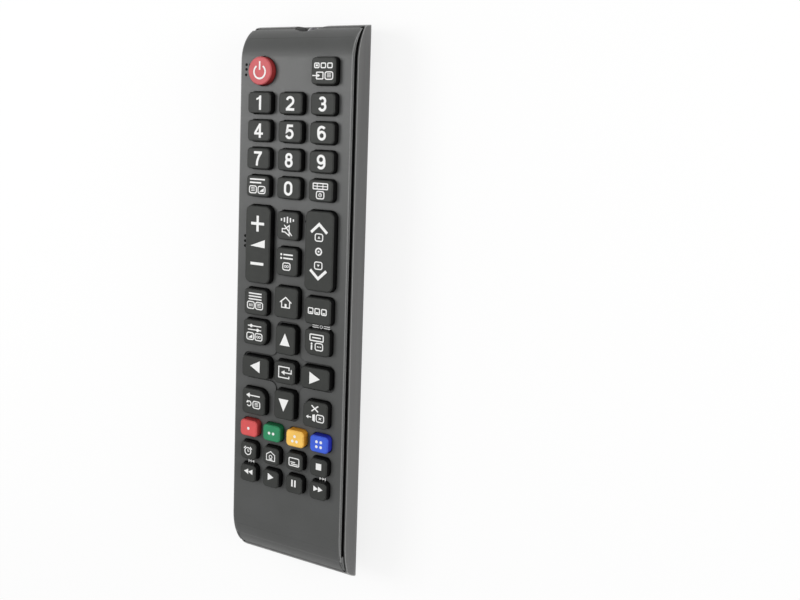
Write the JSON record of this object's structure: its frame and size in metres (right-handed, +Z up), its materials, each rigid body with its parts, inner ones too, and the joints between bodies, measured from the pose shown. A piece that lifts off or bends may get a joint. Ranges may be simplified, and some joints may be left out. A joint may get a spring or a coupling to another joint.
{
  "type": "television remote control",
  "caption": "Long hand-held remote control with rows of press keys, two rocker keys, a ring of arrow keys, a sunken infrared lamp and a sliding battery door in the back.",
  "frame": {"origin": "under the middle of the body, on the flat of the belly that the remote lies on", "axes": "+Y along the body towards the infrared end, +Z up out of the key face, +X to the right with the keys seen upright"},
  "size_m": [0.0442, 0.193, 0.0249],
  "materials": {
    "front_cover": "fine satin, mid grey",
    "rear_cover": "fine satin, dark grey",
    "key": "matte, dark grey",
    "red_key": "matte, red",
    "rose_key": "matte, rose red",
    "green_key": "matte, green",
    "yellow_key": "matte, warm yellow",
    "blue_key": "matte, blue",
    "cell_sleeve": "smooth printed sleeve, black",
    "contact_metal": "nickel plated spring steel",
    "silicone": "smooth silicone, grey",
    "board": "solder mask over glass laminate, green",
    "lamp_lens": "clear dark epoxy, polished",
    "chip": "moulded epoxy, black",
    "ceramic": "dipped ceramic, ochre",
    "can": "drawn aluminium"
  },
  "bodies": {
    "case": {"front_shell": "front_cover", "rear_shell": "rear_cover", "battery_cell_1": "cell_sleeve", "battery_cell_2": "cell_sleeve", "contact_plus": "contact_metal", "contact_minus": "contact_metal", "contact_link": "contact_metal", "spring_minus": "contact_metal", "spring_link": "contact_metal", "keypad_mat": "silicone", "circuit_board": "board", "ir_lamp": "lamp_lens", "controller_chip": "chip", "resonator": "ceramic", "capacitor": "can"},
    "battery_door": {"battery_door": "rear_cover"},
    "key_volume": {"key_volume": "key"},
    "key_channel": {"key_channel": "key"},
    "key_power": {"key_power": "red_key"},
    "key_source": {"key_source": "key"},
    "key_digit_0": {"key_digit_0": "key"},
    "key_digit_1": {"key_digit_1": "key"},
    "key_digit_2": {"key_digit_2": "key"},
    "key_digit_3": {"key_digit_3": "key"},
    "key_digit_4": {"key_digit_4": "key"},
    "key_digit_5": {"key_digit_5": "key"},
    "key_digit_6": {"key_digit_6": "key"},
    "key_digit_7": {"key_digit_7": "key"},
    "key_digit_8": {"key_digit_8": "key"},
    "key_digit_9": {"key_digit_9": "key"},
    "key_text": {"key_text": "key"},
    "key_guide": {"key_guide": "key"},
    "key_mute": {"key_mute": "key"},
    "key_list": {"key_list": "key"},
    "key_menu": {"key_menu": "key"},
    "key_home": {"key_home": "key"},
    "key_content": {"key_content": "key"},
    "key_tools": {"key_tools": "key"},
    "key_info": {"key_info": "key"},
    "key_return": {"key_return": "key"},
    "key_exit": {"key_exit": "key"},
    "key_up": {"key_up": "key"},
    "key_down": {"key_down": "key"},
    "key_left": {"key_left": "key"},
    "key_right": {"key_right": "key"},
    "key_enter": {"key_enter": "key"},
    "key_red": {"key_red": "rose_key"},
    "key_green": {"key_green": "green_key"},
    "key_yellow": {"key_yellow": "yellow_key"},
    "key_blue": {"key_blue": "blue_key"},
    "key_alarm": {"key_alarm": "key"},
    "key_house": {"key_house": "key"},
    "key_subtitle": {"key_subtitle": "key"},
    "key_stop": {"key_stop": "key"},
    "key_rewind": {"key_rewind": "key"},
    "key_play": {"key_play": "key"},
    "key_pause": {"key_pause": "key"},
    "key_forward": {"key_forward": "key"}
  },
  "joints": [
    {"name": "rock_volume", "type": "hinge", "parent": "case", "child": "key_volume", "pos_m": [-0.0122, 0.0207, 0.0196], "axis": [1, 0, 0], "range_deg": [-2.5, 2.5], "stiffness_Nm_per_rad": 0.3},
    {"name": "rock_channel", "type": "hinge", "parent": "case", "child": "key_channel", "pos_m": [0.0126, 0.0207, 0.0196], "axis": [1, 0, 0], "range_deg": [-2.5, 2.5], "stiffness_Nm_per_rad": 0.3},
    {"name": "press_power", "type": "slide", "parent": "case", "child": "key_power", "axis": [0, 0, -1], "range_m": [0, 0.0008], "stiffness_N_per_m": 1500},
    {"name": "press_source", "type": "slide", "parent": "case", "child": "key_source", "axis": [0, 0, -1], "range_m": [0, 0.0008], "stiffness_N_per_m": 1500},
    {"name": "press_digit_0", "type": "slide", "parent": "case", "child": "key_digit_0", "axis": [0, 0, -1], "range_m": [0, 0.0008], "stiffness_N_per_m": 1500},
    {"name": "press_digit_1", "type": "slide", "parent": "case", "child": "key_digit_1", "axis": [0, 0, -1], "range_m": [0, 0.0008], "stiffness_N_per_m": 1500},
    {"name": "press_digit_2", "type": "slide", "parent": "case", "child": "key_digit_2", "axis": [0, 0, -1], "range_m": [0, 0.0008], "stiffness_N_per_m": 1500},
    {"name": "press_digit_3", "type": "slide", "parent": "case", "child": "key_digit_3", "axis": [0, 0, -1], "range_m": [0, 0.0008], "stiffness_N_per_m": 1500},
    {"name": "press_digit_4", "type": "slide", "parent": "case", "child": "key_digit_4", "axis": [0, 0, -1], "range_m": [0, 0.0008], "stiffness_N_per_m": 1500},
    {"name": "press_digit_5", "type": "slide", "parent": "case", "child": "key_digit_5", "axis": [0, 0, -1], "range_m": [0, 0.0008], "stiffness_N_per_m": 1500},
    {"name": "press_digit_6", "type": "slide", "parent": "case", "child": "key_digit_6", "axis": [0, 0, -1], "range_m": [0, 0.0008], "stiffness_N_per_m": 1500},
    {"name": "press_digit_7", "type": "slide", "parent": "case", "child": "key_digit_7", "axis": [0, 0, -1], "range_m": [0, 0.0008], "stiffness_N_per_m": 1500},
    {"name": "press_digit_8", "type": "slide", "parent": "case", "child": "key_digit_8", "axis": [0, 0, -1], "range_m": [0, 0.0008], "stiffness_N_per_m": 1500},
    {"name": "press_digit_9", "type": "slide", "parent": "case", "child": "key_digit_9", "axis": [0, 0, -1], "range_m": [0, 0.0008], "stiffness_N_per_m": 1500},
    {"name": "press_text", "type": "slide", "parent": "case", "child": "key_text", "axis": [0, 0, -1], "range_m": [0, 0.0008], "stiffness_N_per_m": 1500},
    {"name": "press_guide", "type": "slide", "parent": "case", "child": "key_guide", "axis": [0, 0, -1], "range_m": [0, 0.0008], "stiffness_N_per_m": 1500},
    {"name": "press_mute", "type": "slide", "parent": "case", "child": "key_mute", "axis": [0, 0, -1], "range_m": [0, 0.0008], "stiffness_N_per_m": 1500},
    {"name": "press_list", "type": "slide", "parent": "case", "child": "key_list", "axis": [0, 0, -1], "range_m": [0, 0.0008], "stiffness_N_per_m": 1500},
    {"name": "press_menu", "type": "slide", "parent": "case", "child": "key_menu", "axis": [0, 0, -1], "range_m": [0, 0.0008], "stiffness_N_per_m": 1500},
    {"name": "press_home", "type": "slide", "parent": "case", "child": "key_home", "axis": [0, 0, -1], "range_m": [0, 0.0008], "stiffness_N_per_m": 1500},
    {"name": "press_content", "type": "slide", "parent": "case", "child": "key_content", "axis": [0, 0, -1], "range_m": [0, 0.0008], "stiffness_N_per_m": 1500},
    {"name": "press_tools", "type": "slide", "parent": "case", "child": "key_tools", "axis": [0, 0, -1], "range_m": [0, 0.0008], "stiffness_N_per_m": 1500},
    {"name": "press_info", "type": "slide", "parent": "case", "child": "key_info", "axis": [0, 0, -1], "range_m": [0, 0.0008], "stiffness_N_per_m": 1500},
    {"name": "press_return", "type": "slide", "parent": "case", "child": "key_return", "axis": [0, 0, -1], "range_m": [0, 0.0008], "stiffness_N_per_m": 1500},
    {"name": "press_exit", "type": "slide", "parent": "case", "child": "key_exit", "axis": [0, 0, -1], "range_m": [0, 0.0008], "stiffness_N_per_m": 1500},
    {"name": "press_up", "type": "slide", "parent": "case", "child": "key_up", "axis": [0, 0, -1], "range_m": [0, 0.0008], "stiffness_N_per_m": 1500},
    {"name": "press_down", "type": "slide", "parent": "case", "child": "key_down", "axis": [0, 0, -1], "range_m": [0, 0.0008], "stiffness_N_per_m": 1500},
    {"name": "press_left", "type": "slide", "parent": "case", "child": "key_left", "axis": [0, 0, -1], "range_m": [0, 0.0008], "stiffness_N_per_m": 1500},
    {"name": "press_right", "type": "slide", "parent": "case", "child": "key_right", "axis": [0, 0, -1], "range_m": [0, 0.0008], "stiffness_N_per_m": 1500},
    {"name": "press_enter", "type": "slide", "parent": "case", "child": "key_enter", "axis": [0, 0, -1], "range_m": [0, 0.0008], "stiffness_N_per_m": 1500},
    {"name": "press_red", "type": "slide", "parent": "case", "child": "key_red", "axis": [0, 0, -1], "range_m": [0, 0.0008], "stiffness_N_per_m": 1500},
    {"name": "press_green", "type": "slide", "parent": "case", "child": "key_green", "axis": [0, 0, -1], "range_m": [0, 0.0008], "stiffness_N_per_m": 1500},
    {"name": "press_yellow", "type": "slide", "parent": "case", "child": "key_yellow", "axis": [0, 0, -1], "range_m": [0, 0.0008], "stiffness_N_per_m": 1500},
    {"name": "press_blue", "type": "slide", "parent": "case", "child": "key_blue", "axis": [0, 0, -1], "range_m": [0, 0.0008], "stiffness_N_per_m": 1500},
    {"name": "press_alarm", "type": "slide", "parent": "case", "child": "key_alarm", "axis": [0, 0, -1], "range_m": [0, 0.0008], "stiffness_N_per_m": 1500},
    {"name": "press_house", "type": "slide", "parent": "case", "child": "key_house", "axis": [0, 0, -1], "range_m": [0, 0.0008], "stiffness_N_per_m": 1500},
    {"name": "press_subtitle", "type": "slide", "parent": "case", "child": "key_subtitle", "axis": [0, 0, -1], "range_m": [0, 0.0008], "stiffness_N_per_m": 1500},
    {"name": "press_stop", "type": "slide", "parent": "case", "child": "key_stop", "axis": [0, 0, -1], "range_m": [0, 0.0008], "stiffness_N_per_m": 1500},
    {"name": "press_rewind", "type": "slide", "parent": "case", "child": "key_rewind", "axis": [0, 0, -1], "range_m": [0, 0.0008], "stiffness_N_per_m": 1500},
    {"name": "press_play", "type": "slide", "parent": "case", "child": "key_play", "axis": [0, 0, -1], "range_m": [0, 0.0008], "stiffness_N_per_m": 1500},
    {"name": "press_pause", "type": "slide", "parent": "case", "child": "key_pause", "axis": [0, 0, -1], "range_m": [0, 0.0008], "stiffness_N_per_m": 1500},
    {"name": "press_forward", "type": "slide", "parent": "case", "child": "key_forward", "axis": [0, 0, -1], "range_m": [0, 0.0008], "stiffness_N_per_m": 1500},
    {"name": "door_slide", "type": "slide", "parent": "case", "child": "battery_door", "axis": [0, -1, 0], "range_m": [0, 0.08]}
  ]
}
